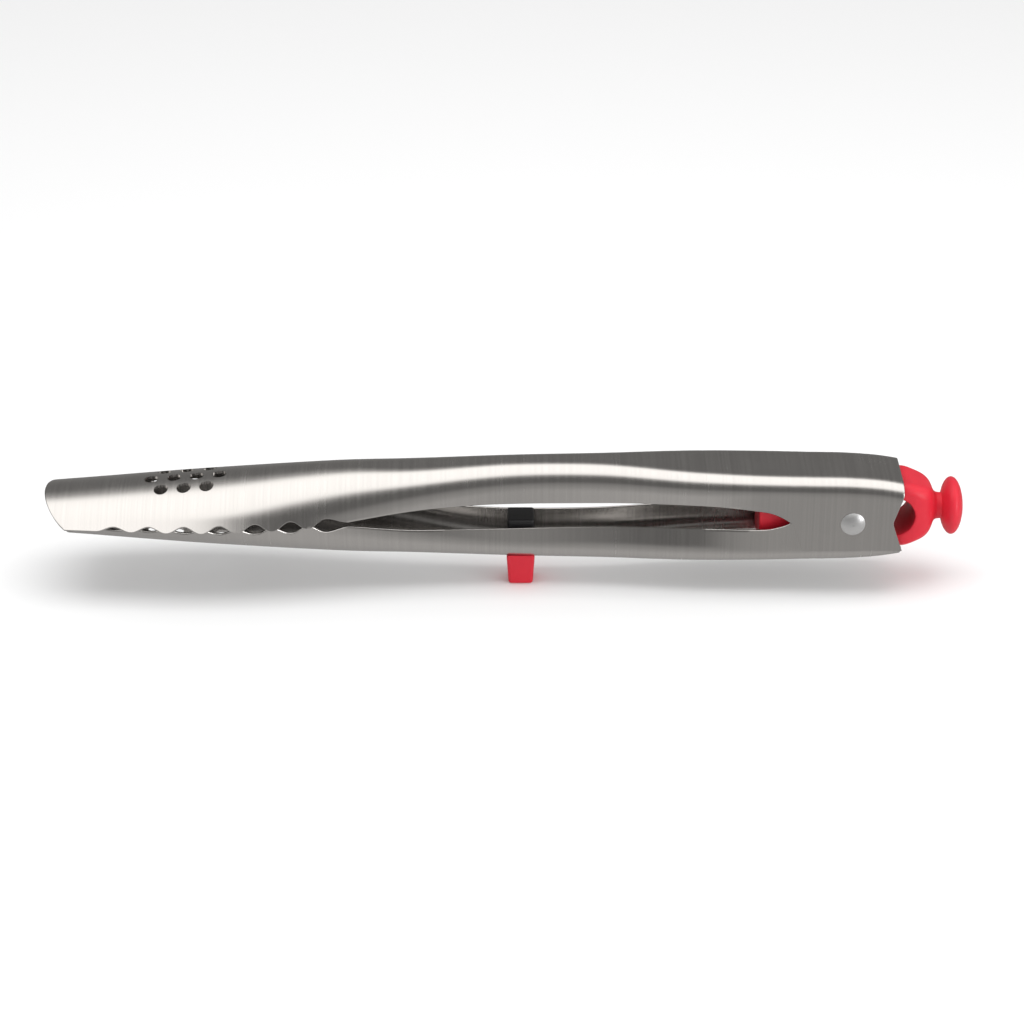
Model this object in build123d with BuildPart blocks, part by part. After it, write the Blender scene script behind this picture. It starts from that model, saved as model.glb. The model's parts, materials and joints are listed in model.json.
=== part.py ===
from build123d import *
import os
from math import cos, radians, sin, sqrt

# Spring loaded kitchen tongs: two stamped steel arms on one rivet, a torsion spring, a pull lock and a foot.
# Millimetres. The part's origin is the middle of the foot's sole, where the closed tongs stand.
# +X runs from the jaws to the pull knob, +Y across the arms, +Z up. All outlines below are measured
# from the pivot, the middle of the rivet, and the planes further down carry them into the part's frame.

# ---- driving dimensions ----
jaw_reach = 267.6            # pivot to the tip of the jaws
lower_tip_setback = 3.5      # the lower jaw is this much shorter than the upper one
tail_reach = 16.4            # pivot to the corners of the tail
notch_reach = 13.1           # pivot to the bottom of the V notch in the tail
sheet = 0.9                  # thickness of the steel

hinge_width = 26.8           # across one arm at the pivot
hinge_height = 15.2          # from the pivot's axis to the top of an arm
tail_drop = 2.0              # the tail's corners lie this much lower than the top at the pivot
waist_width = 16.6           # across one arm at its narrowest
waist_height = 17.6          # from the jaws' meeting plane to the top of an arm at the waist
head_height = 11.1           # the same over the middle of the jaw
tip_height = 7.0             # the same at the tip
head_radius = 22.5           # radius of the jaw's arched section
hinge_bend = 5.2             # outer bend radius beside the pivot

tip_round = 14.0             # how far back the rounding of the jaw's tip starts
tip_half_width = 19.0
edge_gap = 4.2               # the open edges stand this far from the meeting plane at the waist
window_reach = 19.9          # pivot to the point where the side window closes

tooth_count = 7
tooth_pitch = 11.6
first_valley_setback = 24.2  # from the tip to the valley nearest it
shallow_valley = 1.2
deep_valley = 2.9

drain_diameter = 4.7
drain_pitch = 7.55
drain_setback = 46.6         # from the tip to the middle of the drain holes

plate_clearance = 0.2        # between the nested side walls of the two arms
rivet_radius = 2.6
rivet_clearance = 0.06       # round the rivet in every hole
rivet_pin_radius = 1.6
press_clearance = 0.01
dome_radius = 4.0
dome_height = 1.3
dome_gap = 0.1               # between a dome and the wall it covers
rivet_pin_depth = 22.0       # how far the pin goes into the tubular rivet
plate_bottom = 10.0          # the outer side wall reaches this far past the pivot
ear_radius = 9.2             # the inner side wall ends in a round ear

bush_wall = 1.0
bush_end_gap = 0.25
spring_wire = 1.4
spring_clearance = 0.35      # between the coil and the bush
spring_turns = 5
spring_pitch = 1.62
spring_lean = 22.0           # degrees each leg rises from the slider's plane
leg_reach = 21.0             # pivot to the leg's end, where it bears on the arm's back
leg_clearance = 0.3          # between the leg's end and the arm's back
leg_spread = 1.3             # the legs stand this much further apart at the slider than at the coil

slider_front = 30.5          # pivot to the slider's front end, pulled out
slider_travel = 10.0
slider_cheek_gap = 2.55      # between the slider's cheek and the nearest side wall
slider_back_gap = 0.9        # between the slider's back and the arm's back at the tail
slider_corner = 3.0          # rounding of its long edges
slider_shoulder = 17.5       # pivot to where the slider starts to taper
slider_end = 28.3            # pivot to the root of the neck
slot_clearance = 1.4         # between the spring's coil and the slot round it
slot_front = 7.6
slot_back = 21.0
leg_slot_width = 3.2
leg_slot_overlap = 2.0       # how far the slots for the legs run down beside the main slot
leg_slot_start = 24.5        # pivot to the front end of the slots for the spring's legs
neck_radius = 4.5
neck_end = 29.9
knob_radius = 9.7
knob_start = 32.2
knob_end = 37.4

foot_reach = 109.6           # pivot to the middle of the foot
foot_drop = 27.5             # pivot to the sole
foot_top_length = 9.7
foot_sole_length = 8.2
foot_top_width = 11.0
foot_sole_width = 9.0
foot_grip = 2.2              # how far its top comes up round the arm's back
foot_stem_radius = 2.4
foot_stem_length = 7.0       # above the arm's back
anchor_length = 9.0
anchor_width = 10.4
anchor_top = 3.2             # distance of the anchor's top from the jaws' meeting plane
seat_clearance = 0.08        # round the foot's stem and between the foot, the anchor and the arm

# ---- derived ----
hinge_half = hinge_width / 2
nest_shift = (sheet + plate_clearance) / 2       # each arm sits this far to one side at the hinge
inner_half = hinge_half + nest_shift - 2 * sheet - plate_clearance
outer_face = hinge_half + nest_shift
bush_radius = rivet_radius + rivet_clearance + bush_wall
coil_radius = bush_radius + spring_clearance + spring_wire / 2
spring_wound = spring_turns * 360 + 180 - 2 * spring_lean     # degrees from one leg to the other
spring_length = spring_pitch * spring_wound / 360
leg_spacing = spring_length + leg_spread
tail_height = hinge_height - tail_drop
slider_half_width = inner_half - slider_cheek_gap
slider_half_height = tail_height - sheet - slider_back_gap
slot_half_height = coil_radius + spring_wire / 2 + slot_clearance
first_valley = first_valley_setback - jaw_reach
drain_centre = drain_setback - jaw_reach
PIVOT = Vector(foot_reach, 0, foot_drop)
HINGE_AXIS = Axis(PIVOT, (0, 1, 0))


def cross_plane(x, y=0.0):
    """Plane across the arms at x from the pivot: its own x is +Y and its own y is +Z."""
    return Plane(origin=PIVOT + Vector(x, y, 0), x_dir=(0, 1, 0), z_dir=(1, 0, 0))


def side_plane(y=0.0):
    """Plane along the arms, seen from the side: its own x is +X and its own y is +Z. It faces -Y."""
    return Plane(origin=PIVOT + Vector(0, y, 0), x_dir=(1, 0, 0), z_dir=(0, -1, 0))


def plan_plane(z=0.0, y=0.0):
    """Plane seen from above, z from the pivot."""
    return Plane(origin=PIVOT + Vector(0, y, z), x_dir=(1, 0, 0), z_dir=(0, 0, 1))


def arm_stations():
    """Sections of an arm: x, half width of the flat top, bend radius, turn of the bend, height, wall end.

    The turn is how many degrees the sheet has turned from the flat top when its side wall starts, so 90
    is an upright wall, more leans inwards and less flares outwards, as on the jaw.
    """
    waist_half = waist_width / 2
    hinge_flat = hinge_half - hinge_bend
    hinge_low = -plate_bottom - 1.5
    seat_half = foot_top_length / 2 + 1.0
    foot_seat = (waist_half - 6.6, 6.8, 99, waist_height - 0.1, 0.0)
    fore = jaw_reach - foot_reach
    crown = 0.5
    jaw_low = -1.5
    return [
        (tail_reach + 3.0, hinge_flat, hinge_bend, 90, tail_height - 0.5, hinge_low),
        (tail_reach - 6.0, hinge_flat, hinge_bend, 90, tail_height + 1.1, hinge_low),
        (0.0, hinge_flat, hinge_bend, 90, hinge_height, hinge_low),
        (-0.134 * foot_reach, hinge_flat, hinge_bend, 90, hinge_height + 0.35, hinge_low),
        (-0.281 * foot_reach, hinge_flat - 0.1, hinge_bend + 0.1, 91, hinge_height + 0.75, hinge_low),
        (-0.464 * foot_reach, hinge_flat - 1.3, hinge_bend + 0.5, 107, hinge_height + 1.4, -2.0),
        (-0.769 * foot_reach, waist_half - 5.8, 6.4, 104, waist_height + 0.1, 0.0),
        (-foot_reach + seat_half, *foot_seat),
        (-foot_reach - seat_half, *foot_seat),
        (-foot_reach - 0.238 * fore, 2.2, 9.4, 100, waist_height - 2.0, 0.0),
        (-foot_reach - 0.366 * fore, 0.8, 13.6, 84, head_height + 4.2, -1.0),
        (-foot_reach - 0.475 * fore, crown, 0.75 * head_radius, 68, head_height + 3.0, jaw_low),
        (-foot_reach - 0.580 * fore, crown, 0.9 * head_radius, 56, head_height + 1.5, jaw_low),
        (-foot_reach - 0.687 * fore, crown, head_radius, 49, head_height, jaw_low),
        (-foot_reach - 0.792 * fore, crown, head_radius, 46, head_height - 1.4, jaw_low),
        (-foot_reach - 0.898 * fore, crown, head_radius, 43, head_height - 2.9, jaw_low),
        (-jaw_reach - 3.0, crown, head_radius, 40, tip_height - 0.4, jaw_low),
    ]


def section_corners(flat, bend, turn, height, low, inset):
    """Right half of a section from its crown: bend start, bend middle, bend end and wall end."""
    centre_z = height - bend
    radius = bend - inset
    turned = radians(turn)

    def on_bend(angle):
        return (flat + radius * sin(angle), centre_z + radius * cos(angle))

    end = on_bend(turned)
    reach = (end[1] - low) / sin(turned)
    return [on_bend(0), on_bend(turned / 2), end, (end[0] + reach * cos(turned), low)]


def mirrored(point):
    return (-point[0], point[1])


def arm_section(station):
    """Outline of the sheet's own section: outer line, inner line and the two cut ends."""
    flat, bend, turn, height, low = station[1:]
    outer = section_corners(flat, bend, turn, height, low, 0.0)
    inner = section_corners(flat, bend, turn, height, low, sheet)
    with BuildLine() as outline:
        for a, b, c, d in (outer, inner):
            Line(mirrored(a), a)
            ThreePointArc(a, b, c)
            Line(c, d)
            ThreePointArc(mirrored(a), mirrored(b), mirrored(c))
            Line(mirrored(c), mirrored(d))
        Line(outer[3], inner[3])
        Line(mirrored(outer[3]), mirrored(inner[3]))
    return outline.edges()


def section_at(x):
    """Station worked out at any x between two of the arm's own stations."""
    stations = sorted(arm_stations())
    for low, high in zip(stations, stations[1:]):
        if low[0] <= x <= high[0]:
            share = (x - low[0]) / (high[0] - low[0])
            return tuple(a + share * (b - a) for a, b in zip(low, high))
    raise ValueError("x is beyond the arm")


def valley_depth(index):
    return shallow_valley + (deep_valley - shallow_valley) * index / (tooth_count - 1)


def edge_points():
    """The arm's open edge, from the first tooth to the window's point: teeth, then the long side window."""
    points = [(first_valley - tooth_pitch / 2, 0.0)]
    for index in range(tooth_count):
        valley = first_valley + index * tooth_pitch
        points.append((valley, valley_depth(index)))
        points.append((valley + tooth_pitch / 2, 0.0))
    points[-1] = (points[-1][0] + 1.5, 1.2)
    return points


def window_points():
    start = edge_points()[-1][0]
    span = start + window_reach
    return [(start + share * -span, z) for share, z in (
        (0.13, 3.0), (0.3, edge_gap), (0.55, edge_gap + 0.1), (0.78, edge_gap - 0.2), (0.91, 2.9))]


def trim_side(outer_wall):
    """Outline of what is cut away below one side's edge: the outer wall keeps a plate, the inner an ear."""
    teeth = edge_points()
    point = (-window_reach, 0.0)
    floor = -60.0
    far_left = -jaw_reach - 20
    far_right = tail_reach + 20
    with BuildLine() as outline:
        Line((far_left, 0), teeth[0])
        Spline(*teeth, tangents=[(1, 0)] * len(teeth))
        Spline(teeth[-1], *window_points(), point, tangents=[(1, 0), (1, -0.52)])
        if outer_wall:
            corner = (-window_reach + 3.5, -plate_bottom)
            Line(point, corner)
            Line(corner, (far_right, -plate_bottom))
            Line((far_right, -plate_bottom), (far_right, floor))
        else:
            tangent_x = -ear_radius ** 2 / window_reach
            tangent = (tangent_x, -sqrt(ear_radius ** 2 - tangent_x ** 2))
            Line(point, tangent)
            ThreePointArc(tangent, (ear_radius * 0.6, -ear_radius * 0.8), (ear_radius, 0))
            Line((ear_radius, 0), (far_right, 0))
            Line((far_right, 0), (far_right, floor))
        Line((far_right, floor), (far_left, floor))
        Line((far_left, floor), (far_left, 0))
    return outline.edges()


def tail_cut():
    """Outline of what is cut away past the tail, with its V notch."""
    with BuildLine() as outline:
        Polyline(
            (tail_reach - 0.6, 30), (tail_reach, hinge_height - hinge_bend), (notch_reach, 0),
            (tail_reach, -plate_bottom), (tail_reach, -30), (tail_reach + 20, -30),
            (tail_reach + 20, 30), close=True)
    return outline.edges()


def tip_cut(tip):
    """Outline of what is cut away round the jaw's tip, an ellipse in plan."""
    centre = -tip + tip_round
    with BuildLine() as outline:
        EllipticalCenterArc((centre, 0), tip_round, tip_half_width + 2.5, start_angle=90, arc_size=180)
        Polyline((centre, tip_half_width + 2.5), (centre, 40), (-tip - 20, 40), (-tip - 20, -40),
                 (centre, -40), (centre, -tip_half_width - 2.5))
    return outline.edges()


def drain_places():
    """Ten holes in rows of three, four and three, set as in a honeycomb."""
    row = drain_pitch * sqrt(3) / 2
    middle = [(drain_centre + (i - 1.5) * drain_pitch, 0) for i in range(4)]
    sides = [(drain_centre + (i - 1) * drain_pitch, side * row) for i in range(3) for side in (-1, 1)]
    return middle + sides


def make_arm(tip):
    """The upper arm as stamped: its outer side wall at -Y. The lower arm is the same shape turned over."""
    with BuildPart() as arm:
        for station in arm_stations():
            with BuildSketch(cross_plane(station[0], -nest_shift)):
                make_face(arm_section(station))
        loft()
        with BuildSketch(side_plane()):
            make_face(trim_side(outer_wall=True))
        extrude(amount=60, mode=Mode.SUBTRACT)
        with BuildSketch(side_plane()):
            make_face(trim_side(outer_wall=False))
        extrude(amount=-60, mode=Mode.SUBTRACT)
        with BuildSketch(side_plane()):
            make_face(tail_cut())
        extrude(amount=60, both=True, mode=Mode.SUBTRACT)
        with BuildSketch(plan_plane(y=-nest_shift)):
            make_face(tip_cut(tip))
        extrude(amount=60, both=True, mode=Mode.SUBTRACT)
        with BuildSketch(plan_plane(y=-nest_shift)):
            with Locations(*drain_places()):
                Circle(drain_diameter / 2)
        extrude(amount=60, mode=Mode.SUBTRACT)
        with BuildSketch(side_plane()):
            Circle(rivet_radius + rivet_clearance)
        extrude(amount=60, both=True, mode=Mode.SUBTRACT)
    return arm.part


def headed_pin(side, radius, length):
    """Half outline of a pin whose domed head lies outside one wall: distance along the rivet and radius."""
    seat = side * (outer_face + dome_gap)
    crown = seat + side * dome_height
    far = seat - side * length
    with BuildLine() as outline:
        Polyline((crown, 0), (far, 0), (far, radius), (seat, radius), (seat, dome_radius))
        TangentArc((crown, 0), (seat, dome_radius), tangent=(0, 1))
    return outline.edges()


def make_arms():
    """Both arms: the lower one is the upper one turned over about the tongs' long axis."""
    with BuildPart() as upper_arm:
        add(make_arm(jaw_reach))
    turn_over = Location(PIVOT) * Location((0, 0, 0), (180, 0, 0)) * Location(-PIVOT)
    with BuildPart() as lower_arm:
        add(make_arm(jaw_reach - lower_tip_setback).moved(turn_over))
        with BuildSketch(plan_plane()):
            with Locations((-foot_reach, 0)):
                Circle(foot_stem_radius + seat_clearance)
        extrude(amount=-60, mode=Mode.SUBTRACT)
    return upper_arm, lower_arm


def make_rivet():
    """Tubular rivet with a domed head at -Y, and the domed pin pressed into it from +Y."""
    with BuildPart() as rivet_post:
        with BuildSketch(cross_plane(0)):
            make_face(headed_pin(-1, rivet_radius, 2 * outer_face + dome_gap))
        revolve(axis=HINGE_AXIS)
        with BuildSketch(side_plane(outer_face)):
            Circle(rivet_pin_radius + press_clearance)
        extrude(amount=rivet_pin_depth + 1.0, mode=Mode.SUBTRACT)
    with BuildPart() as rivet_pin:
        with BuildSketch(cross_plane(0)):
            make_face(headed_pin(1, rivet_pin_radius, rivet_pin_depth + dome_gap))
        revolve(axis=HINGE_AXIS)
    return rivet_post, rivet_pin


def make_bush():
    """Tube on the rivet that keeps the side walls apart and carries the spring."""
    half = inner_half - bush_end_gap
    with BuildPart() as spring_bush:
        with BuildSketch(side_plane(half)):
            Circle(bush_radius)
            Circle(rivet_radius + rivet_clearance, mode=Mode.SUBTRACT)
        extrude(amount=2 * half)
        chamfer(spring_bush.edges().filter_by(GeomType.CIRCLE), length=0.2)
    return spring_bush


def spring_coil():
    """Middle line of the close turns round the bush, from the lower leg's root to the upper leg's."""
    start = radians(-90 + spring_lean)
    coil_plane = Plane(origin=PIVOT + Vector(0, spring_length / 2, 0), x_dir=(cos(start), 0, sin(start)),
                       z_dir=(0, -1, 0))
    with BuildLine() as coil:
        Helix(spring_pitch, spring_length, coil_radius)
    return coil.edges()[0].moved(coil_plane.location)


def make_spring():
    """Torsion spring: close turns round the bush and two legs that push the arms' backs apart."""
    lean = radians(spring_lean)
    coil = spring_coil()
    leg_top = section_at(-leg_reach)[4] - sheet - leg_clearance - spring_wire / 2
    leg_length = (leg_top - coil_radius * cos(lean)) / sin(lean)
    with BuildPart() as torsion_spring:
        with BuildSketch(Plane(origin=coil @ 0, z_dir=coil % 0)):
            Circle(spring_wire / 2)
        sweep(path=coil, is_frenet=True)
        for root, along in ((coil @ 0, -(coil % 0)), (coil @ 1, coil % 1)):
            with BuildSketch(Plane(origin=root, z_dir=along)):
                Circle(spring_wire / 2)
            extrude(amount=leg_length)
        leg_ends = torsion_spring.edges().filter_by(GeomType.CIRCLE).group_by(Axis.X)[0]
        chamfer(leg_ends, length=spring_wire / 6)
    return torsion_spring


def slider_sections():
    """Sections of the slider's tapering end, shoulder to neck: x, half width, half height and corner."""
    taper = slider_end - slider_shoulder
    wide = slider_half_width
    tall = slider_half_height
    return [
        (slider_shoulder, wide, tall, slider_corner),
        (slider_shoulder + 0.28 * taper, wide - 0.2, tall - 0.6, slider_corner + 0.6),
        (slider_shoulder + 0.62 * taper, wide - 1.1, tall - 1.9, slider_corner + 1.0),
        (slider_end - 2.0, wide - 2.5, tall - 3.2, slider_corner + 1.2),
        (slider_end - 0.7, neck_radius + 0.9, neck_radius + 1.5, neck_radius - 0.1),
        (slider_end, neck_radius, neck_radius, neck_radius - 0.1),
    ]


def knob_profile():
    """Half outline of the neck and the pull knob: distance along X and radius."""
    root = slider_end - 2.0
    with BuildLine() as outline:
        FilletPolyline(
            (root, 0), (root, neck_radius + 3.0), (slider_end + 0.3, neck_radius), (neck_end, neck_radius),
            (knob_start, knob_radius), (knob_end - 1.5, knob_radius), (knob_end, knob_radius / 2),
            (knob_end, 0), radius=[0.4, 1.0, 1.0, 1.9, 1.9, 2.4])
        Line((knob_end, 0), (root, 0))
    return outline.edges()


def make_slider():
    """Pull lock: a yoke round the spring, its shoulders and the pull knob, in one moulding."""
    with BuildPart() as lock_slider:
        with BuildSketch(cross_plane(-slider_front)):
            RectangleRounded(2 * slider_half_width, 2 * slider_half_height, slider_corner)
        extrude(amount=slider_front + slider_shoulder)
        for x, half_width, half_height, corner in slider_sections():
            with BuildSketch(cross_plane(x)):
                RectangleRounded(2 * half_width, 2 * half_height, corner)
        loft()
        with BuildSketch(side_plane()):
            make_face(knob_profile())
        revolve(axis=Axis(PIVOT, (1, 0, 0)))
        with BuildSketch(side_plane()):
            with Locations(((slot_back - slot_front) / 2, 0)):
                SlotOverall(slot_back + slot_front, 2 * slot_half_height)
        extrude(amount=slider_half_width + 1, both=True, mode=Mode.SUBTRACT)
        for side in (1, -1):
            slot_end = slider_travel + spring_wire
            with BuildSketch(plan_plane(side * (slot_half_height - leg_slot_overlap))):
                with Locations(((slot_end - leg_slot_start) / 2, -side * leg_spacing / 2)):
                    SlotOverall(slot_end + leg_slot_start, leg_slot_width)
            extrude(amount=side * slider_half_height, mode=Mode.SUBTRACT)
    return lock_slider


def foot_section(clearance):
    """Closed outline of the lower arm at the foot, clearance outside its sheet."""
    flat, bend, turn, height, low = section_at(-foot_reach)[1:]
    a, b, c, d = section_corners(flat, bend, turn, height, low, -clearance)
    with BuildLine() as outline:
        Line((a[0], -a[1]), (-a[0], -a[1]))
        for side in (1, -1):
            ThreePointArc((side * a[0], -a[1]), (side * b[0], -b[1]), (side * c[0], -c[1]))
            Line((side * c[0], -c[1]), (side * d[0], -d[1]))
        Line((d[0], -d[1]), (-d[0], -d[1]))
    return outline.edges()


def make_foot():
    """Soft foot: a tapered tab whose top saddles the lower arm, with a stem up through it."""
    top = waist_height - foot_grip
    with BuildPart() as foot:
        with BuildSketch(plan_plane(-foot_drop)):
            with Locations((-foot_reach, 0)):
                RectangleRounded(foot_sole_length, foot_sole_width, 1.2)
        with BuildSketch(plan_plane(-top)):
            with Locations((-foot_reach, 0)):
                RectangleRounded(foot_top_length, foot_top_width, 1.2)
        loft()
        fillet(foot.faces().sort_by(Axis.Z)[0].edges(), radius=0.9)
        with BuildSketch(cross_plane(-foot_reach - foot_top_length, nest_shift)):
            make_face(foot_section(seat_clearance))
        extrude(amount=2 * foot_top_length, mode=Mode.SUBTRACT)
        with BuildSketch(plan_plane(-waist_height - 1.0)):
            with Locations((-foot_reach, 0)):
                Circle(foot_stem_radius)
        extrude(amount=foot_stem_length + 1.0)
    return foot


def make_anchor():
    """Hard block inside the lower arm that the foot's stem plugs into."""
    floor = -waist_height
    with BuildPart() as foot_anchor:
        with BuildSketch(plan_plane(floor)):
            with Locations((-foot_reach, 0)):
                RectangleRounded(anchor_length, anchor_width, 1.0)
        extrude(amount=waist_height - anchor_top)
        fillet(foot_anchor.faces().sort_by(Axis.Z)[-1].edges(), radius=0.7)
        with BuildSketch(cross_plane(-foot_reach - anchor_length, nest_shift)):
            make_face(foot_section(-sheet - seat_clearance))
        extrude(amount=2 * anchor_length, mode=Mode.INTERSECT)
        with BuildSketch(plan_plane(floor)):
            with Locations((-foot_reach, 0)):
                Circle(foot_stem_radius + seat_clearance)
        extrude(amount=foot_stem_length + seat_clearance, mode=Mode.SUBTRACT)
    return foot_anchor


def write(piece, name):
    piece.part.label = name
    export_step(piece.part, f"parts/{name}.step")


os.makedirs("parts", exist_ok=True)
upper_arm, lower_arm = make_arms()
rivet_post, rivet_pin = make_rivet()
write(upper_arm, "upper_arm")
write(lower_arm, "lower_arm")
write(rivet_post, "rivet_post")
write(rivet_pin, "rivet_pin")
write(make_bush(), "spring_bush")
write(make_spring(), "torsion_spring")
write(make_slider(), "lock_slider")
write(make_foot(), "foot")
write(make_anchor(), "foot_anchor")
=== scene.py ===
import json
from math import cos, pi, radians, sin, sqrt

import bmesh
import bpy
import numpy as np
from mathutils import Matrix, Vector


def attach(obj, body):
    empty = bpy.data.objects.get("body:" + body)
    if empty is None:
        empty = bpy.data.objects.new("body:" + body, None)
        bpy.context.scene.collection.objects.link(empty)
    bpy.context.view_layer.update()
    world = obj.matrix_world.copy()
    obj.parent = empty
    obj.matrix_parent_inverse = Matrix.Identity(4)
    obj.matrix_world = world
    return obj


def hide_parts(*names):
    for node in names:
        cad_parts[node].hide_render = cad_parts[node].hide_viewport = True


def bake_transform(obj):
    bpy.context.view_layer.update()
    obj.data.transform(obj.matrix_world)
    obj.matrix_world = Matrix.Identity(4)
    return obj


bl_info = {
    "name": "Kitchen Tongs Builder",
    "version": (1, 0, 0),
    "blender": (4, 5, 0),
    "location": "View3D > Sidebar > Tongs",
    "description": "Builds the steel, wire and silicone surfaces of locking kitchen tongs round a CAD frame",
    "category": "Add Mesh",
}

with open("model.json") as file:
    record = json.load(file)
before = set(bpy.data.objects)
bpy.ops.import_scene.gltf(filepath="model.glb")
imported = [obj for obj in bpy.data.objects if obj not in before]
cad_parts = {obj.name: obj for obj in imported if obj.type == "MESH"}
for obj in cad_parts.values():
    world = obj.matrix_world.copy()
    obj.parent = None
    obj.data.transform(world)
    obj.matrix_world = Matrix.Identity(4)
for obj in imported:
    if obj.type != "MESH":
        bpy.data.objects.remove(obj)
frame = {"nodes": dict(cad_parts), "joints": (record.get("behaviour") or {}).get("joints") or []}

MM = 0.001
JOINTS = {joint["name"]: joint for joint in frame["joints"]}
PIVOT = np.array(JOINTS["arm_opening"]["pos_m"])     # middle of the rivet, from which all shapes are measured


# ---------------------------------------------------------------- settings

class TongsSizes(bpy.types.PropertyGroup):
    """Sizes of the steelwork, in metres."""

    jaw_reach: bpy.props.FloatProperty(
        name="Jaw reach", description="Pivot to the tip of the upper jaw", default=0.2676, unit="LENGTH")
    tip_setback: bpy.props.FloatProperty(
        name="Lower tip setback", description="The lower jaw is this much shorter", default=0.0058,
        unit="LENGTH")
    sheet: bpy.props.FloatProperty(
        name="Sheet", description="Thickness of the arms' steel", default=0.0009, unit="LENGTH")
    edge_round: bpy.props.FloatProperty(
        name="Edge rounding", description="How far the tumbled edges of the sheet bulge", default=0.00022,
        unit="LENGTH")
    drain_diameter: bpy.props.FloatProperty(
        name="Drain hole", description="Diameter of the drain holes", default=0.0047, unit="LENGTH")
    wire: bpy.props.FloatProperty(
        name="Spring wire", description="Diameter of the torsion spring's wire", default=0.0014,
        unit="LENGTH")


class TongsFinish(bpy.types.PropertyGroup):
    """Colours and finishes."""

    steel: bpy.props.FloatVectorProperty(
        name="Steel", description="Colour of the stainless sheet", default=(0.61, 0.592, 0.575), size=3,
        subtype="COLOR", min=0.0, max=1.0)
    steel_roughness: bpy.props.FloatProperty(
        name="Satin", description="Roughness of the stainless sheet", default=0.24, subtype="FACTOR",
        min=0.0, max=1.0)
    red: bpy.props.FloatVectorProperty(
        name="Red", description="Colour of the lock and the foot", default=(0.67, 0.018, 0.038), size=3,
        subtype="COLOR", min=0.0, max=1.0)
    black: bpy.props.FloatVectorProperty(
        name="Black", description="Colour of the foot's anchor", default=(0.012, 0.012, 0.013), size=3,
        subtype="COLOR", min=0.0, max=1.0)
    floor: bpy.props.FloatVectorProperty(
        name="Floor", description="Colour of the studio floor", default=(0.93, 0.93, 0.93), size=3,
        subtype="COLOR", min=0.0, max=1.0)


# ---------------------------------------------------------------- curves and sections

# Sections of an arm, tip to tail, in millimetres from the pivot:
# place, half width of the flat back, bend radius, degrees of bend, height of the back.
ARM_SECTIONS = np.array([
    (-270.6, 0.5, 22.5, 40.0, 6.6),
    (-251.5, 0.5, 22.5, 43.0, 8.2),
    (-234.7, 0.5, 22.5, 46.0, 9.7),
    (-218.1, 0.5, 22.5, 49.0, 11.1),
    (-201.2, 0.5, 20.3, 56.0, 12.6),
    (-184.6, 0.5, 16.9, 68.0, 14.1),
    (-167.4, 0.8, 13.6, 84.0, 15.3),
    (-147.2, 2.2, 9.4, 100.0, 15.6),
    (-109.6, 1.7, 6.8, 99.0, 17.5),
    (-84.3, 2.5, 6.4, 104.0, 17.7),
    (-50.9, 6.9, 5.7, 107.0, 16.6),
    (-30.8, 8.1, 5.3, 91.0, 15.95),
    (-14.7, 8.2, 5.2, 90.0, 15.55),
    (0.0, 8.2, 5.2, 90.0, 15.2),
    (10.4, 8.2, 5.2, 90.0, 14.3),
    (19.4, 8.2, 5.2, 90.0, 12.7),
])

TOOTH_PITCH = 11.6
TOOTH_COUNT = 7
FIRST_VALLEY = -243.4
SHALLOW_VALLEY = 1.2
DEEP_VALLEY = 2.9
# Edge of the window in the side walls: place, and height above the middle in the upper and the lower arm.
WINDOW = np.array([(-166.5, 1.2, 1.2), (-147.4, 3.3, 4.0), (-122.5, 4.5, 5.1), (-85.9, 4.75, 4.8), (-68.0, 5.3, 4.3),
                   (-52.2, 5.6, 3.9), (-42.0, 5.4, 3.5), (-33.1, 4.7, 3.2), (-26.0, 3.5, 2.5), (-19.9, 0.0, 0.0)])
WINDOW_POINT_SLOPE = -0.75
PLATE_FRONT = -16.4
PLATE_BOTTOM = 10.0
EAR_RADIUS = 9.2
NEST_SHIFT = 0.55           # each arm sits this far to one side, so that the side walls nest
TIP_ROUND = 14.0
TIP_HALF_WIDTH = 19.4
TIP_ZONE = -230.0
TAIL_ZONE = 9.4
TAIL_NOTCH = np.array([(-10.0, 16.4), (0.0, 13.1), (10.0, 16.4), (30.0, 15.8)])
DRAIN_PITCH = 7.55
DRAIN_CENTRE = -221.0
RIVET_HOLE_RADIUS = 2.66
STEM_HOLE_RADIUS = 2.48
COIL_RADIUS = 4.71
COIL_TURNS = 5
COIL_PITCH = 1.62
LEG_LEAN = radians(22.0)
LEG_REACH = 21.0
LEG_GAP = 0.3
KNOB_MIDDLE = 34.0
KNOB_HALF_WIDTH = 3.75
KNOB_RADIUS = 9.7
KNOB_NECK = 29.5
NECK_RADIUS = 4.4


def smooth_curve(x, points_x, points_y, last_slope=None):
    """Cubic through the points: each span is the Hermite cubic whose end slopes are the weighted mean of
    the slopes of the two spans that meet there."""
    span = np.diff(points_x)
    rise = np.diff(points_y) / span
    slope = np.empty_like(points_y)
    slope[1:-1] = (rise[:-1] * span[1:] + rise[1:] * span[:-1]) / (span[:-1] + span[1:])
    slope[0] = rise[0]
    slope[-1] = rise[-1] if last_slope is None else last_slope
    k = np.clip(np.searchsorted(points_x, x) - 1, 0, len(span) - 1)
    t = (x - points_x[k]) / span[k]
    return (points_y[k] * (1 + 2 * t) * (1 - t) ** 2 + points_y[k + 1] * t * t * (3 - 2 * t)
            + span[k] * (slope[k] * t * (1 - t) ** 2 + slope[k + 1] * t * t * (t - 1)))


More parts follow.
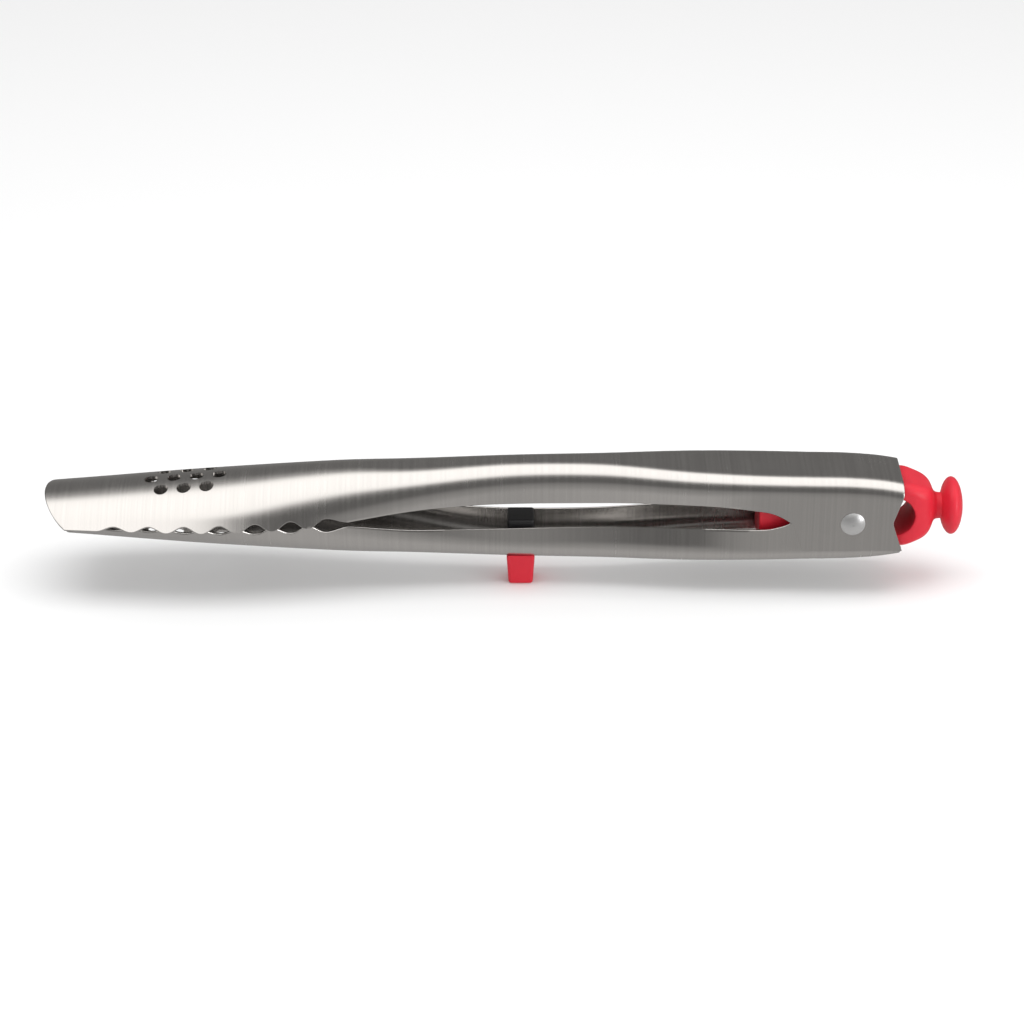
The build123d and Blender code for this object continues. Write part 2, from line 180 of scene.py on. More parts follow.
def open_edge(x, has_plate, window_column):
    """Height of an arm's open edge at x: half cosine waves for the teeth, a smooth curve for the window,
    and then the plate's slanted front and flat bottom, or the ear's tangent line and circle."""
    start = FIRST_VALLEY - TOOTH_PITCH / 2
    place = (x - start) / TOOTH_PITCH
    index = np.clip(np.floor(place), 0, TOOTH_COUNT - 1)
    depth = SHALLOW_VALLEY + (DEEP_VALLEY - SHALLOW_VALLEY) * index / (TOOTH_COUNT - 1)
    teeth = depth * (0.5 - 0.5 * np.cos(2 * pi * place))
    last = FIRST_VALLEY + (TOOTH_COUNT - 1) * TOOTH_PITCH
    ease = np.clip((x - last) / (WINDOW[0, 0] - last), 0, 1)
    run_out = DEEP_VALLEY + (WINDOW[0, 1] - DEEP_VALLEY) * ease * ease * (3 - 2 * ease)
    window = smooth_curve(x, WINDOW[:, 0], WINDOW[:, window_column], WINDOW_POINT_SLOPE)
    point = WINDOW[-1, 0]
    if has_plate:
        front = np.clip((x - point) / (PLATE_FRONT - point), 0, 1) * -PLATE_BOTTOM
    else:
        touch = -EAR_RADIUS ** 2 / -point
        line = (x - point) / (touch - point) * -sqrt(EAR_RADIUS ** 2 - touch ** 2)
        ear = -np.sqrt(np.clip(EAR_RADIUS ** 2 - x * x, 0, None))
        front = np.where(x < touch, line, np.where(x < EAR_RADIUS, ear, 0.0))
    edge = np.where(x < start, 0.0, np.where(x < last, teeth, np.where(x < WINDOW[0, 0], run_out, window)))
    return np.where(x < point, edge, front)


def arm_skin(x, v, sheet, window_column):
    """Outer skin of an arm at place x and share v of the way from the crown (0) to the open edge (-1 near
    side, 1 far side). A section is a flat back, a circular bend and a straight wall, and v is the share of
    its length. Returns the points and the normals that lead out of the sheet."""
    flat, bend, turn, height = (smooth_curve(x, ARM_SECTIONS[:, 0], ARM_SECTIONS[:, k]) for k in range(1, 5))
    turn = np.radians(turn)
    edge = np.where(v < 0, open_edge(x, True, window_column), open_edge(x, False, window_column))
    bend_end = height - bend * (1 - np.cos(turn))
    on_wall = np.clip(bend_end - edge, 0, None) / np.sin(turn)
    on_bend = np.arccos(np.clip((edge - height + bend) / bend, -1, 1))
    angle = np.where(edge < bend_end, turn, np.minimum(on_bend, turn))
    along = np.abs(v) * (flat + bend * angle + on_wall)
    a = np.clip((along - flat) / bend, 0, turn)
    rest = np.clip(along - flat - bend * turn, 0, None)
    side = np.sign(v)
    y = side * (np.minimum(along, flat) + bend * np.sin(a) + rest * np.cos(turn))
    z = height - bend * (1 - np.cos(a)) - rest * np.sin(turn)
    points = np.stack([x, y, z], axis=-1)
    normals = np.stack([np.zeros_like(x), side * np.sin(a), np.cos(a)], axis=-1)
    return points, normals * sheet


def arm_places():
    """Places of the grid's columns along an arm: close together at the tip, the teeth and the hinge."""
    ear = EAR_RADIUS * np.sin(np.linspace(-1.15, pi / 2, 24))
    return np.concatenate([
        np.linspace(-267.6, -246, 34)[:-1], np.linspace(-246, -165, 150)[:-1],
        np.linspace(-165, -19.9, 130)[:-1], np.linspace(-19.9, -16.4, 12)[:-1],
        np.linspace(-16.4, ear[0], 12)[:-1], ear, np.linspace(TAIL_ZONE, 17.4, 18)])


def arm_points(tip, sheet, window_column, columns=61):
    """Outer skin of a whole arm. Columns past the tip's and the tail's zones are drawn in or out along x, so
    that the first ends on the jaw's elliptical tip and the last on the tail's V notch."""
    x0, v = np.meshgrid(arm_places(), np.linspace(-1, 1, columns), indexing="ij")
    x = x0
    for _ in range(4):
        points, normals = arm_skin(x, v, sheet, window_column)
        y, z = points[..., 1], points[..., 2]
        across = np.sqrt(np.clip(1 - (y / TIP_HALF_WIDTH) ** 2, 0, 1))
        tip_x = -tip + TIP_ROUND * (1 - across)
        share = (x0 - TIP_ZONE) / (x0.min() - TIP_ZONE)
        at_tip = TIP_ZONE + share * (tip_x - TIP_ZONE)
        tail_x = np.interp(z, TAIL_NOTCH[:, 0], TAIL_NOTCH[:, 1])
        share = (x0 - TAIL_ZONE) / (x0.max() - TAIL_ZONE)
        at_tail = TAIL_ZONE + share * (tail_x - TAIL_ZONE)
        x = np.where(x0 < TIP_ZONE, at_tip, np.where(x0 > TAIL_ZONE, at_tail, x0))
    return points, normals


def rim_turn(steps):
    """Angles that carry a rounded rim from one face of the sheet over to the other."""
    return np.linspace(0, pi, steps + 2)[1:-1]


def unit(vectors):
    return vectors / np.linalg.norm(vectors, axis=-1, keepdims=True)


def sheet_loop(middle, half, bulge, steps=3):
    """Closed loops round a sheet given by its middle surface and half thickness: the outer face, a rounded
    rim that follows half an ellipse, the inner face and the other rim."""
    rims = []
    for edge, inside in ((-1, -2), (0, 1)):
        outward = unit(middle[:, edge] - middle[:, inside]) * bulge
        turn = rim_turn(steps)[None, :, None]
        rims.append(middle[:, edge, None] + np.cos(turn) * half[:, edge, None] * (1 if edge else -1)
                    + np.sin(turn) * outward[:, None])
    return np.concatenate([middle + half, rims[0], (middle - half)[:, ::-1], rims[1]], axis=1)


def sheet_ends(middle, half, bulge, steps=3):
    """The sheet with rows added past its first and last column, where its thickness closes down to nothing
    along a quarter of an ellipse."""
    turn = np.linspace(0, pi / 2, steps + 1)[1:]
    first = unit(middle[0] - middle[1]) * bulge
    last = unit(middle[-1] - middle[-2]) * bulge
    head = [middle[0] + sin(t) * first for t in turn[::-1]]
    tail = [middle[-1] + sin(t) * last for t in turn]
    head_half = [half[0] * cos(t) for t in turn[::-1]]
    tail_half = [half[-1] * cos(t) for t in turn]
    return (np.concatenate([np.array(head), middle, np.array(tail)]),
            np.concatenate([np.array(head_half), half, np.array(tail_half)]))


# ---------------------------------------------------------------- meshes

def grid_mesh(name, grid, around=True):
    """Mesh of quads from a grid of points, closed round its second direction where asked, in metres from
    the pivot. Points that fall together are welded."""
    rows, columns = grid.shape[:2]
    mesh = bpy.data.meshes.new(name)
    index = np.arange(rows * columns).reshape(rows, columns)
    if around:
        index = np.concatenate([index, index[:, :1]], axis=1)
    quads = np.stack([index[:-1, :-1], index[:-1, 1:], index[1:, 1:], index[1:, :-1]], axis=-1).reshape(-1, 4)
    vertices = grid.reshape(-1, 3) * MM + PIVOT
    mesh.from_pydata(vertices.tolist(), [], quads.tolist())
    shape = bmesh.new()
    shape.from_mesh(mesh)
    bmesh.ops.remove_doubles(shape, verts=shape.verts, dist=1e-6)
    bmesh.ops.holes_fill(shape, edges=[edge for edge in shape.edges if edge.is_boundary])
    bmesh.ops.recalc_face_normals(shape, faces=shape.faces)
    shape.to_mesh(mesh)
    shape.free()
    return mesh


def add_object(mesh, smooth_angle=40.0):
    """Links a mesh as an object, shaded smooth up to the angle."""
    mesh.polygons.foreach_set("use_smooth", np.ones(len(mesh.polygons), bool))
    mesh.set_sharp_from_angle(angle=radians(smooth_angle))
    piece = bpy.data.objects.new(mesh.name, mesh)
    bpy.context.scene.collection.objects.link(piece)
    return piece


def finished(piece, *names):
    """Bakes the piece's modifiers into its mesh and removes the named helper objects."""
    bpy.context.view_layer.update()
    shown = piece.evaluated_get(bpy.context.evaluated_depsgraph_get())
    mesh = bpy.data.meshes.new_from_object(shown)
    piece.modifiers.clear()
    old = piece.data
    piece.data = mesh
    bpy.data.meshes.remove(old)
    mesh.name = piece.name
    for name in names:
        bpy.data.objects.remove(bpy.data.objects[name])
    return piece


def rods(name, rods_list, segments=40):
    """One mesh of closed straight rods, each given by its two ends and radius, in millimetres."""
    shape = bmesh.new()
    for start, end, radius in rods_list:
        start, end = Vector(start), Vector(end)
        turn = (end - start).to_track_quat("Z", "Y").to_matrix().to_4x4()
        turn.translation = (start + end) / 2
        bmesh.ops.create_cone(shape, cap_ends=True, segments=segments, radius1=radius, radius2=radius,
                              depth=(end - start).length, matrix=turn)
    mesh = bpy.data.meshes.new(name)
    shape.to_mesh(mesh)
    shape.free()
    points = np.empty(len(mesh.vertices) * 3)
    mesh.vertices.foreach_get("co", points)
    points = points.reshape(-1, 3) * MM + PIVOT
    mesh.vertices.foreach_set("co", points.ravel())
    piece = bpy.data.objects.new(name, mesh)
    bpy.context.scene.collection.objects.link(piece)
    return piece


def drilled(piece, holes):
    """Cuts the holes out of the piece and shades it smooth again."""
    cutter = rods("drill", holes)
    cut = piece.modifiers.new("holes", "BOOLEAN")
    cut.object = cutter
    cut.operation = "DIFFERENCE"
    cut.solver = "EXACT"
    finished(piece, "drill")
    piece.data.polygons.foreach_set("use_smooth", np.ones(len(piece.data.polygons), bool))
    piece.data.set_sharp_from_angle(angle=radians(40))
    return piece


def drain_places():
    """Ten holes in rows of three, four and three, as in a honeycomb."""
    row = DRAIN_PITCH * sqrt(3) / 2
    middle = [(DRAIN_CENTRE + (i - 1.5) * DRAIN_PITCH, 0.0) for i in range(4)]
    sides = [(DRAIN_CENTRE + (i - 1) * DRAIN_PITCH, side * row) for i in range(3) for side in (-1, 1)]
    return middle + sides


def smooth_copy(node, name, angle=32.0):
    """Copy of a CAD node's mesh, merged and shaded smooth up to the angle."""
    mesh = frame["nodes"][node].data.copy()
    mesh.name = name
    mesh.materials.clear()
    shape = bmesh.new()
    shape.from_mesh(mesh)
    bmesh.ops.remove_doubles(shape, verts=shape.verts, dist=2e-6)
    shape.to_mesh(mesh)
    shape.free()
    return add_object(mesh, angle)


def rounded_knob(piece):
    """Trims the knob's disc to half an ellipse in section, no thinner than its neck."""
    points = np.empty(len(piece.data.vertices) * 3)
    piece.data.vertices.foreach_get("co", points)
    points = (points.reshape(-1, 3) - PIVOT) / MM
    radius = np.maximum(np.linalg.norm(points[:, 1:], axis=1), 1e-6)
    place = np.clip((points[:, 0] - KNOB_MIDDLE) / KNOB_HALF_WIDTH, -1, 1)
    most = np.maximum(KNOB_RADIUS * np.sqrt(1 - place ** 2), NECK_RADIUS)
    most = np.where(points[:, 0] > KNOB_NECK, most, 1e3)
    points[:, 1:] *= (np.minimum(radius, most) / radius)[:, None]
    piece.data.vertices.foreach_set("co", (points * MM + PIVOT).ravel())
    piece.data.update()


def moulded_copy(node, name, voxel, rounds, shape=None):
    """Copy of a CAD node's shape as a soft moulding: remeshed in fine cells and relaxed, which rounds its
    edges by about one cell. The shape is trimmed by the function given, if any, between the two."""
    piece = smooth_copy(node, name)
    remesh = piece.modifiers.new("cells", "REMESH")
    remesh.mode = "VOXEL"
    remesh.voxel_size = voxel
    finished(piece)
    if shape:
        shape(piece)
    relax = piece.modifiers.new("relax", "SMOOTH")
    relax.factor = 0.5
    relax.iterations = rounds
    finished(piece)
    piece.data.polygons.foreach_set("use_smooth", np.ones(len(piece.data.polygons), bool))
    return piece


def tube(name, path, radius, sides=20):
    """Round wire along a path: circles square to the path, in a frame that leans on the rivet's axis, with
    ends that close along a quarter of an ellipse."""
    ahead = unit(np.gradient(path, axis=0))
    across = unit(np.cross(ahead, np.array([0.0, 1.0, 0.0])))
    up = np.cross(across, ahead)
    turn = np.linspace(0, 2 * pi, sides, endpoint=False)
    ring = np.cos(turn)[None, :, None] * across[:, None] + np.sin(turn)[None, :, None] * up[:, None]
    body = path[:, None] + radius * ring
    close = np.linspace(0, pi / 2, 5)[1:]
    bulge = 0.35 * radius
    head = [path[0] - sin(t) * bulge * ahead[0] + cos(t) * radius * ring[0] for t in close[::-1]]
    tail = [path[-1] + sin(t) * bulge * ahead[-1] + cos(t) * radius * ring[-1] for t in close]
    return add_object(grid_mesh(name, np.concatenate([np.array(head), body, np.array(tail)])), 60.0)


# ---------------------------------------------------------------- shader groups and materials

def shader_group(name, inputs, outputs):
    """New shader node group with float inputs and outputs. Returns it with its two end nodes."""
    group = bpy.data.node_groups.new(name, "ShaderNodeTree")
    for label, value in inputs.items():
        socket = group.interface.new_socket(name=label, in_out="INPUT", socket_type="NodeSocketFloat")
        socket.default_value = value
    for label in outputs:
        group.interface.new_socket(name=label, in_out="OUTPUT", socket_type="NodeSocketFloat")
    return group, group.nodes.new("NodeGroupInput"), group.nodes.new("NodeGroupOutput")


def noise(nodes, links, vector, scale, detail=3.0, roughness=0.5):
    node = nodes.new("ShaderNodeTexNoise")
    node.inputs["Scale"].default_value = scale
    node.inputs["Detail"].default_value = detail
    node.inputs["Roughness"].default_value = roughness
    links.new(vector, node.inputs["Vector"])
    return node.outputs["Fac"]


def math(nodes, links, operation, a, b, clamp=False):
    node = nodes.new("ShaderNodeMath")
    node.operation = operation
    node.use_clamp = clamp
    for socket, value in zip(node.inputs, (a, b)):
        if isinstance(value, (int, float)):
            socket.default_value = value
        else:
            links.new(value, socket)
    return node.outputs[0]


def stretched(nodes, links, scale):
    """Object coordinates scaled by a different amount along each axis."""
    place = nodes.new("ShaderNodeTexCoord")
    mapping = nodes.new("ShaderNodeMapping")
    mapping.inputs["Scale"].default_value = scale
    links.new(place.outputs["Object"], mapping.inputs["Vector"])
    return mapping.outputs["Vector"]


def brushing_group():
    """Fine grinding lines that run across the arms: noise stretched along the lines, in two widths."""
    group, given, made = shader_group("cross_brushing", {"Depth": 1.0, "Roughness": 0.25, "Spread": 0.1},
                                      ["Height", "Roughness", "Tone"])
    nodes, links = group.nodes, group.links
    fine = noise(nodes, links, stretched(nodes, links, (1500.0, 7.0, 7.0)), 1.0, 1.0)
    wide = noise(nodes, links, stretched(nodes, links, (420.0, 5.0, 5.0)), 1.0, 1.0)
    mixed = math(nodes, links, "ADD", math(nodes, links, "MULTIPLY", fine, 0.65),
                 math(nodes, links, "MULTIPLY", wide, 0.35))
    height = math(nodes, links, "MULTIPLY", mixed, given.outputs["Depth"])
    centred = math(nodes, links, "SUBTRACT", mixed, 0.5)
    vary = math(nodes, links, "MULTIPLY", centred, given.outputs["Spread"])
    rough = math(nodes, links, "ADD", vary, given.outputs["Roughness"], clamp=True)
    links.new(height, made.inputs["Height"])
    links.new(rough, made.inputs["Roughness"])
    links.new(centred, made.inputs["Tone"])
    return group


def handling_group():
    """Soft marks of handling: large and small cloudy patches, as a value round nought."""
    group, _, made = shader_group("handling_marks", {"Unused": 0.0}, ["Value"])
    nodes, links = group.nodes, group.links
    large = noise(nodes, links, stretched(nodes, links, (28.0, 45.0, 45.0)), 1.0, 4.0, 0.6)
    small = noise(nodes, links, stretched(nodes, links, (190.0, 190.0, 190.0)), 1.0, 3.0, 0.6)
    mixed = math(nodes, links, "ADD", math(nodes, links, "MULTIPLY", large, 0.7),
                 math(nodes, links, "MULTIPLY", small, 0.3))
    links.new(math(nodes, links, "SUBTRACT", mixed, 0.5), made.inputs["Value"])
    return group


def grain_group():
    """Fine even grain of moulded silicone or nylon, with a faint cloudiness of tone."""
    group, given, made = shader_group("moulded_grain", {"Scale": 2500.0}, ["Height", "Tone"])
    nodes, links = group.nodes, group.links
    place = nodes.new("ShaderNodeTexCoord")
    grain = nodes.new("ShaderNodeTexNoise")
    grain.inputs["Detail"].default_value = 2.0
    links.new(place.outputs["Object"], grain.inputs["Vector"])
    links.new(given.outputs["Scale"], grain.inputs["Scale"])
    cloud = noise(nodes, links, place.outputs["Object"], 160.0, 3.0)
    links.new(grain.outputs["Fac"], made.inputs["Height"])
    links.new(cloud, made.inputs["Tone"])
    return group


def new_material(name):
    material = bpy.data.materials.new(name)
    material.use_nodes = True
    nodes, links = material.node_tree.nodes, material.node_tree.links
    return material, nodes, links, nodes["Principled BSDF"]


def place_group(nodes, name, **values):
    node = nodes.new("ShaderNodeGroup")
    node.node_tree = bpy.data.node_groups[name]
    for label, value in values.items():
        node.inputs[label].default_value = value
    return node


def tinted(nodes, links, mask, dark, light):
    """Colour that goes from dark to light with the mask."""
    mix = nodes.new("ShaderNodeMix")
    mix.data_type = "RGBA"
    mix.inputs["A"].default_value = (*dark, 1.0)
    mix.inputs["B"].default_value = (*light, 1.0)
    links.new(mask, mix.inputs["Factor"])
    return mix.outputs["Result"]


def bump(nodes, links, height, distance, strength=1.0):
    node = nodes.new("ShaderNodeBump")
    node.inputs["Distance"].default_value = distance
    node.inputs["Strength"].default_value = strength
    links.new(height, node.inputs["Height"])
    return node.outputs["Normal"]


def scaled(colour, factor):
    return tuple(min(1.0, part * factor) for part in colour)


def steel_material(name, colour, roughness, depth, spread, anisotropy=0.0):
    """Stainless steel: brushed lines in the roughness and the bump, and handling marks in the tone."""
    material, nodes, links, shader = new_material(name)
    shader.inputs["Metallic"].default_value = 1.0
    shader.inputs["Anisotropic"].default_value = anisotropy
    brushing = place_group(nodes, "cross_brushing", Roughness=roughness, Spread=spread)
    marks = place_group(nodes, "handling_marks")
    lines = math(nodes, links, "MULTIPLY", brushing.outputs["Tone"], 1.6)
    clouds = math(nodes, links, "MULTIPLY", marks.outputs["Value"], 0.8)
    tone = math(nodes, links, "ADD", math(nodes, links, "ADD", lines, clouds), 0.5, clamp=True)
    links.new(tinted(nodes, links, tone, scaled(colour, 0.92), scaled(colour, 1.06)), shader.inputs["Base Color"])
    smudge = math(nodes, links, "MULTIPLY", marks.outputs["Value"], 0.12)
    links.new(math(nodes, links, "ADD", brushing.outputs["Roughness"], smudge, clamp=True),
              shader.inputs["Roughness"])
    links.new(bump(nodes, links, brushing.outputs["Height"], depth), shader.inputs["Normal"])
    return material


def silicone_material(name, colour, roughness):
    """Red silicone: satin, slightly translucent, with a fine grain and a faint cloud of tone."""
    material, nodes, links, shader = new_material(name)
    shader.inputs["Subsurface Weight"].default_value = 0.12
    shader.inputs["Subsurface Radius"].default_value = (1.0, 0.25, 0.15)
    shader.inputs["Subsurface Scale"].default_value = 0.0012
    shader.inputs["Specular IOR Level"].default_value = 0.36
    shader.inputs["Sheen Weight"].default_value = 0.03
    shader.inputs["Sheen Roughness"].default_value = 0.4
    grain = place_group(nodes, "moulded_grain", Scale=2600.0)
    links.new(tinted(nodes, links, grain.outputs["Tone"], scaled(colour, 0.9), scaled(colour, 1.08)),
              shader.inputs["Base Color"])
    vary = math(nodes, links, "MULTIPLY", math(nodes, links, "SUBTRACT", grain.outputs["Tone"], 0.5), 0.15)
    links.new(math(nodes, links, "ADD", vary, roughness, clamp=True), shader.inputs["Roughness"])
    links.new(bump(nodes, links, grain.outputs["Height"], 0.00002, 0.5), shader.inputs["Normal"])
    return material


def nylon_material(name, colour):
    """Black moulded nylon with a matte grain."""
    material, nodes, links, shader = new_material(name)
    grain = place_group(nodes, "moulded_grain", Scale=1800.0)
    links.new(tinted(nodes, links, grain.outputs["Tone"], scaled(colour, 0.7), scaled(colour, 1.6)),
              shader.inputs["Base Color"])
    vary = math(nodes, links, "MULTIPLY", math(nodes, links, "SUBTRACT", grain.outputs["Tone"], 0.5), 0.2)
    links.new(math(nodes, links, "ADD", vary, 0.42, clamp=True), shader.inputs["Roughness"])
    links.new(bump(nodes, links, grain.outputs["Height"], 0.00004, 0.6), shader.inputs["Normal"])
    return material


# ---------------------------------------------------------------- operators

def dressed(piece, body, slot, material, *nodes):
    """Gives a finished piece its material and body, and hides the CAD nodes it stands for. The slot is not used."""
    piece.data.materials.clear()
    piece.data.materials.append(bpy.data.materials[material])
    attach(piece, body)
    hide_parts(*nodes)
    return piece


class TONGS_OT_materials(bpy.types.Operator):
    """Makes the shared shader groups and the materials"""

    bl_idname = "tongs.materials"
    bl_label = "Materials"

    def execute(self, context):
        finish = context.scene.tongs_finish
        brushing_group()
        handling_group()
        grain_group()
        steel = tuple(finish.steel)
        steel_material("satin_steel", steel, finish.steel_roughness, 0.0000004, 0.18)
        steel_material("rivet_steel", scaled(steel, 0.8), 0.1, 0.0000002, 0.05)
        steel_material("spring_steel", scaled(steel, 0.92), 0.2, 0.0000005, 0.1)
        silicone_material("red_silicone", tuple(finish.red), 0.4)
        nylon_material("black_nylon", tuple(finish.black))
        return {"FINISHED"}


class TONGS_OT_arms(bpy.types.Operator):
    """Makes the two stamped arms with their teeth, windows, drain holes and nested side plates"""

    bl_idname = "tongs.arms"
    bl_label = "Arms"

    def arm(self, name, tip, sizes, flip):
        sheet = sizes.sheet / MM
        points, normals = arm_points(tip, sheet, 1 if flip > 0 else 2)
        points[..., 1] -= NEST_SHIFT
        middle, half = points - normals / 2, normals / 2
        middle, half = sheet_ends(middle, half, sizes.edge_round / MM)
        grid = sheet_loop(middle, half, sizes.edge_round / MM)
        grid = grid * np.array([1.0, flip, flip])
        piece = add_object(grid_mesh(name, grid))
        low, high = sorted((flip * 2.0, flip * 30.0))
        drain = sizes.drain_diameter / MM / 2
        holes = [((x, y - flip * NEST_SHIFT, low), (x, y - flip * NEST_SHIFT, high), drain)
                 for x, y in drain_places()]
        holes.append(((0.0, -30.0, 0.0), (0.0, 30.0, 0.0), RIVET_HOLE_RADIUS))
        return piece, holes

    def execute(self, context):
        sizes = context.scene.tongs_sizes
        reach = sizes.jaw_reach / MM
        upper, holes = self.arm("upper_arm_sheet", reach, sizes, 1.0)
        dressed(drilled(upper, holes), "upper_arm", "arm_steel", "satin_steel", "upper_arm")
        lower, holes = self.arm("lower_arm_sheet", reach - sizes.tip_setback / MM, sizes, -1.0)
        foot_x = -PIVOT[0] / MM
        holes.append(((foot_x, 0.0, -30.0), (foot_x, 0.0, -8.0), STEM_HOLE_RADIUS))
        dressed(drilled(lower, holes), "lower_arm", "arm_steel", "satin_steel", "lower_arm")
        return {"FINISHED"}


class TONGS_OT_rivet(bpy.types.Operator):
    """Makes the tubular rivet, its pressed pin and the bush on it"""

    bl_idname = "tongs.rivet"
    bl_label = "Rivet and bush"

    def execute(self, context):
        for node, body in (("rivet_post", "lower_arm"), ("rivet_pin", "lower_arm"), ("spring_bush", "spring_core")):
            piece = smooth_copy(node, node + "_turned")
            dressed(piece, body, "rivet_steel", "rivet_steel", node)
        return {"FINISHED"}


class TONGS_OT_spring(bpy.types.Operator):
    """Winds the torsion spring: the coil and its two straight legs"""

    bl_idname = "tongs.spring"
    bl_label = "Torsion spring"

    def execute(self, context):
        radius = context.scene.tongs_sizes.wire / MM / 2
        first = -pi / 2 + LEG_LEAN
        wound = COIL_TURNS * 2 * pi + pi - 2 * LEG_LEAN
        turn = np.linspace(first, first + wound, 320)
        length = COIL_PITCH * wound / (2 * pi)
        along = length / 2 - (turn - first) * COIL_PITCH / (2 * pi)
        path = np.stack([COIL_RADIUS * np.cos(turn), along, COIL_RADIUS * np.sin(turn)], axis=1)
        coil = tube("spring_coil", path, radius)
        dressed(coil, "spring_core", "spring_steel", "spring_steel", "torsion_spring")
        back = smooth_curve(np.array([-LEG_REACH]), ARM_SECTIONS[:, 0], ARM_SECTIONS[:, 4])[0]
        top = back - context.scene.tongs_sizes.sheet / MM - LEG_GAP - radius
        leg = (top - COIL_RADIUS * cos(LEG_LEAN)) / sin(LEG_LEAN)
        for name, root, away, body in (("spring_leg_lower", path[0], path[0] - path[1], "lower_arm"),
                                       ("spring_leg_upper", path[-1], path[-1] - path[-2], "upper_arm")):
            away = away / np.linalg.norm(away)
            start = root - away * 0.2
            line = start + np.linspace(0, leg + 0.2, 60)[:, None] * away
            piece = tube(name, line, radius)
            piece.data.materials.append(bpy.data.materials["spring_steel"])
            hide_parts("torsion_spring")
            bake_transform(piece)
        return {"FINISHED"}


class TONGS_OT_lock(bpy.types.Operator):
    """Moulds the pull lock slider"""

    bl_idname = "tongs.lock"
    bl_label = "Lock slider"

    def execute(self, context):
        piece = moulded_copy("lock_slider", "lock_slider_moulding", 0.00034, 8, rounded_knob)
        dressed(piece, "lock_slider", "lock_red", "red_silicone", "lock_slider")
        return {"FINISHED"}


class TONGS_OT_foot(bpy.types.Operator):
    """Moulds the soft foot and the anchor that holds it"""

    bl_idname = "tongs.foot"
    bl_label = "Foot"

    def execute(self, context):
        foot = moulded_copy("foot", "foot_moulding", 0.00022, 5)
        dressed(foot, "lower_arm", "foot_red", "red_silicone", "foot")
        anchor = smooth_copy("foot_anchor", "foot_anchor_block")
        dressed(anchor, "lower_arm", "anchor_black", "black_nylon", "foot_anchor")
        return {"FINISHED"}


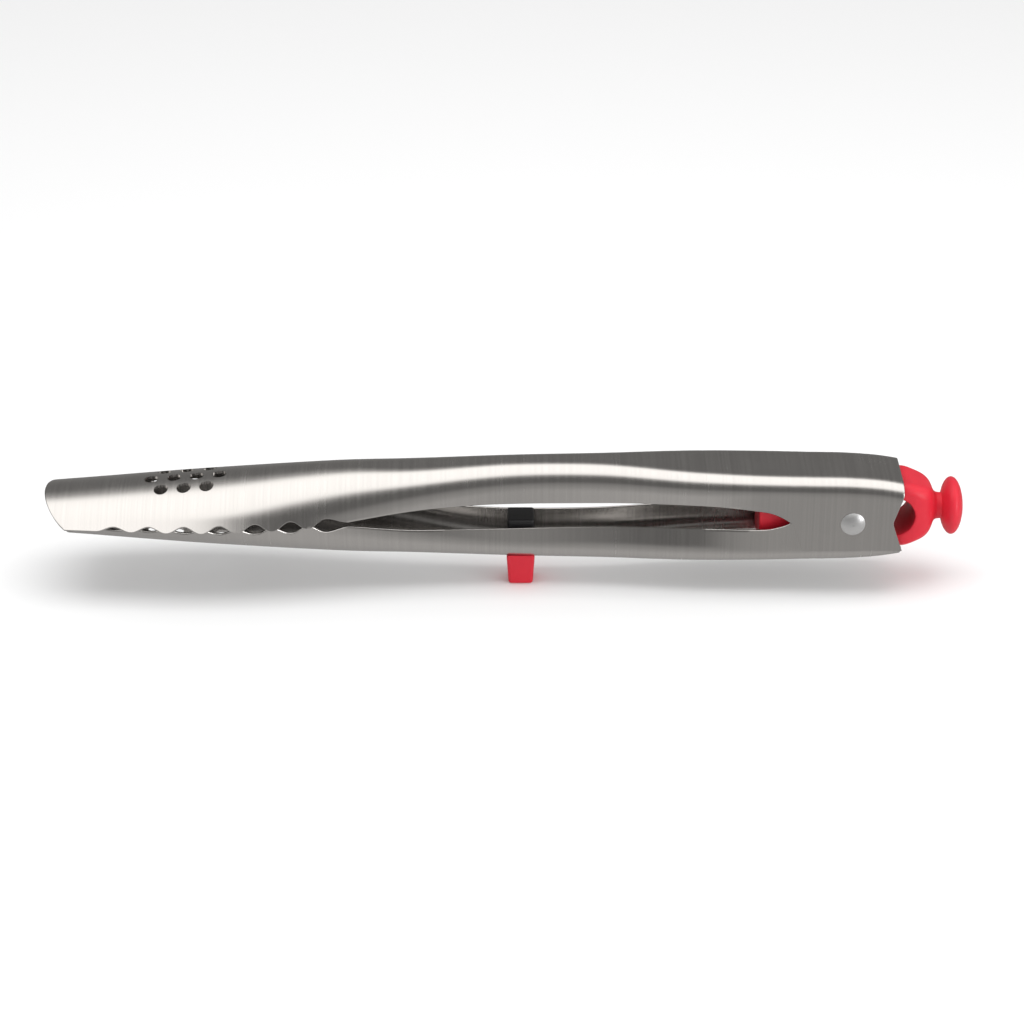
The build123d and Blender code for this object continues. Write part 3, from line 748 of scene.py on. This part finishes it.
class TONGS_OT_stage(bpy.types.Operator):
    """Sets up the floor, the studio light and the camera"""

    bl_idname = "tongs.stage"
    bl_label = "Studio"

    def floor(self, colour):
        mesh = bpy.data.meshes.new("floor")
        half = 6.0
        mesh.from_pydata([(-half, -half, 0), (half, -half, 0), (half, half, 0), (-half, half, 0)], [], [(0, 1, 2, 3)])
        floor = bpy.data.objects.new("floor", mesh)
        bpy.context.scene.collection.objects.link(floor)
        material, _, _, shader = new_material("studio_floor")
        shader.inputs["Base Color"].default_value = (*colour, 1.0)
        shader.inputs["Roughness"].default_value = 0.9
        shader.inputs["Specular IOR Level"].default_value = 0.1
        mesh.materials.append(material)
        floor.visible_glossy = False

    def area_light(self, name, place, target, size, power, in_reflections):
        light = bpy.data.lights.new(name, "AREA")
        light.shape = "RECTANGLE"
        light.size, light.size_y = size
        light.energy = power
        lamp = bpy.data.objects.new(name, light)
        lamp.location = place
        lamp.rotation_euler = (Vector(target) - Vector(place)).to_track_quat("-Z", "Y").to_euler()
        lamp.visible_glossy = in_reflections
        bpy.context.scene.collection.objects.link(lamp)

    def camera(self):
        """Camera 1 m away, 27 degrees above the floor, square to the tongs' long axis."""
        rise = radians(27)
        distance = 1.0
        view_width = 0.342
        up = Vector((0, sin(rise), cos(rise)))
        aim = Vector((PIVOT[0] - 0.1125, 0, PIVOT[2])) - up * 0.00234
        camera = bpy.data.cameras.new("camera")
        camera.lens = camera.sensor_width * distance / view_width
        camera.clip_start = 0.01
        eye = bpy.data.objects.new("camera", camera)
        eye.location = aim + distance * Vector((0, -cos(rise), sin(rise)))
        eye.rotation_euler = (pi / 2 - rise, 0, 0)
        bpy.context.scene.collection.objects.link(eye)
        bpy.context.scene.camera = eye

    def world(self):
        """Studio surroundings: reflections see a white ceiling, a dark band in front, a grey back wall and
        a grey floor, and everything else sees even white."""
        world = bpy.data.worlds.new("studio")
        bpy.context.scene.world = world
        world.use_nodes = True
        nodes, links = world.node_tree.nodes, world.node_tree.links
        nodes.clear()
        place = nodes.new("ShaderNodeTexCoord")
        split = nodes.new("ShaderNodeSeparateXYZ")
        links.new(place.outputs["Generated"], split.inputs[0])
        front = math(nodes, links, "MULTIPLY", split.outputs["Y"], -1.0)
        angle = math(nodes, links, "ARCTAN2", split.outputs["Z"], front)
        share = math(nodes, links, "ADD", math(nodes, links, "DIVIDE", angle, 2 * pi), 0.5)
        ramp = nodes.new("ShaderNodeValToRGB")
        stops = [(-180, 0.22), (-150, 0.30), (-90, 0.50), (-57, 0.52), (-27, 0.38), (-6, 0.30), (5, 0.15),
                 (30, 0.15), (42, 0.30), (55, 1.68), (112, 1.75), (124, 0.45), (140, 0.17), (160, 0.18),
                 (180, 0.22)]
        while len(ramp.color_ramp.elements) < len(stops):
            ramp.color_ramp.elements.new(0.5)
        for element, (degrees, level) in zip(ramp.color_ramp.elements, stops):
            element.position = degrees / 360 + 0.5
            element.color = (level, level * 0.985, level * 0.965, 1)
        links.new(share, ramp.inputs["Fac"])
        studio = nodes.new("ShaderNodeBackground")
        links.new(ramp.outputs["Color"], studio.inputs["Color"])
        even = nodes.new("ShaderNodeBackground")
        even.inputs["Color"].default_value = (1, 1, 1, 1)
        even.inputs["Strength"].default_value = 0.78
        rays = nodes.new("ShaderNodeLightPath")
        mix = nodes.new("ShaderNodeMixShader")
        links.new(rays.outputs["Is Glossy Ray"], mix.inputs["Fac"])
        links.new(even.outputs[0], mix.inputs[1])
        links.new(studio.outputs[0], mix.inputs[2])
        output = nodes.new("ShaderNodeOutputWorld")
        links.new(mix.outputs[0], output.inputs["Surface"])

    def execute(self, context):
        self.floor(tuple(context.scene.tongs_finish.floor))
        self.area_light("ceiling_box", (0.0, -0.1, 0.9), (0, 0, 0), (1.1, 0.5), 4.2, False)
        self.area_light("side_box", (0.60, -0.34, 0.16), tuple(PIVOT), (0.26, 0.26), 1.1, True)
        self.camera()
        self.world()
        context.scene.view_settings.view_transform = "Standard"
        return {"FINISHED"}


class TONGS_PT_panel(bpy.types.Panel):
    """Lists the builder's steps in the order in which they run"""

    bl_idname = "TONGS_PT_panel"
    bl_label = "Kitchen tongs"
    bl_space_type = "VIEW_3D"
    bl_region_type = "UI"
    bl_category = "Tongs"

    def draw(self, context):
        for group in (context.scene.tongs_sizes, context.scene.tongs_finish):
            for key in group.__annotations__:
                self.layout.prop(group, key)
        for operator in OPERATORS:
            self.layout.operator(operator.bl_idname)


OPERATORS = (TONGS_OT_materials, TONGS_OT_arms, TONGS_OT_rivet, TONGS_OT_spring, TONGS_OT_lock, TONGS_OT_foot,
             TONGS_OT_stage)
CLASSES = (TongsSizes, TongsFinish, *OPERATORS, TONGS_PT_panel)


def register():
    for cls in CLASSES:
        bpy.utils.register_class(cls)
    bpy.types.Scene.tongs_sizes = bpy.props.PointerProperty(type=TongsSizes)
    bpy.types.Scene.tongs_finish = bpy.props.PointerProperty(type=TongsFinish)


def unregister():
    del bpy.types.Scene.tongs_finish
    del bpy.types.Scene.tongs_sizes
    for cls in reversed(CLASSES):
        bpy.utils.unregister_class(cls)


def main():
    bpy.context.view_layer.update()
    register()
    bpy.ops.tongs.materials()
    bpy.ops.tongs.arms()
    bpy.ops.tongs.rivet()
    bpy.ops.tongs.spring()
    bpy.ops.tongs.lock()
    bpy.ops.tongs.foot()
    bpy.ops.tongs.stage()


if __name__ == "__main__":
    main()
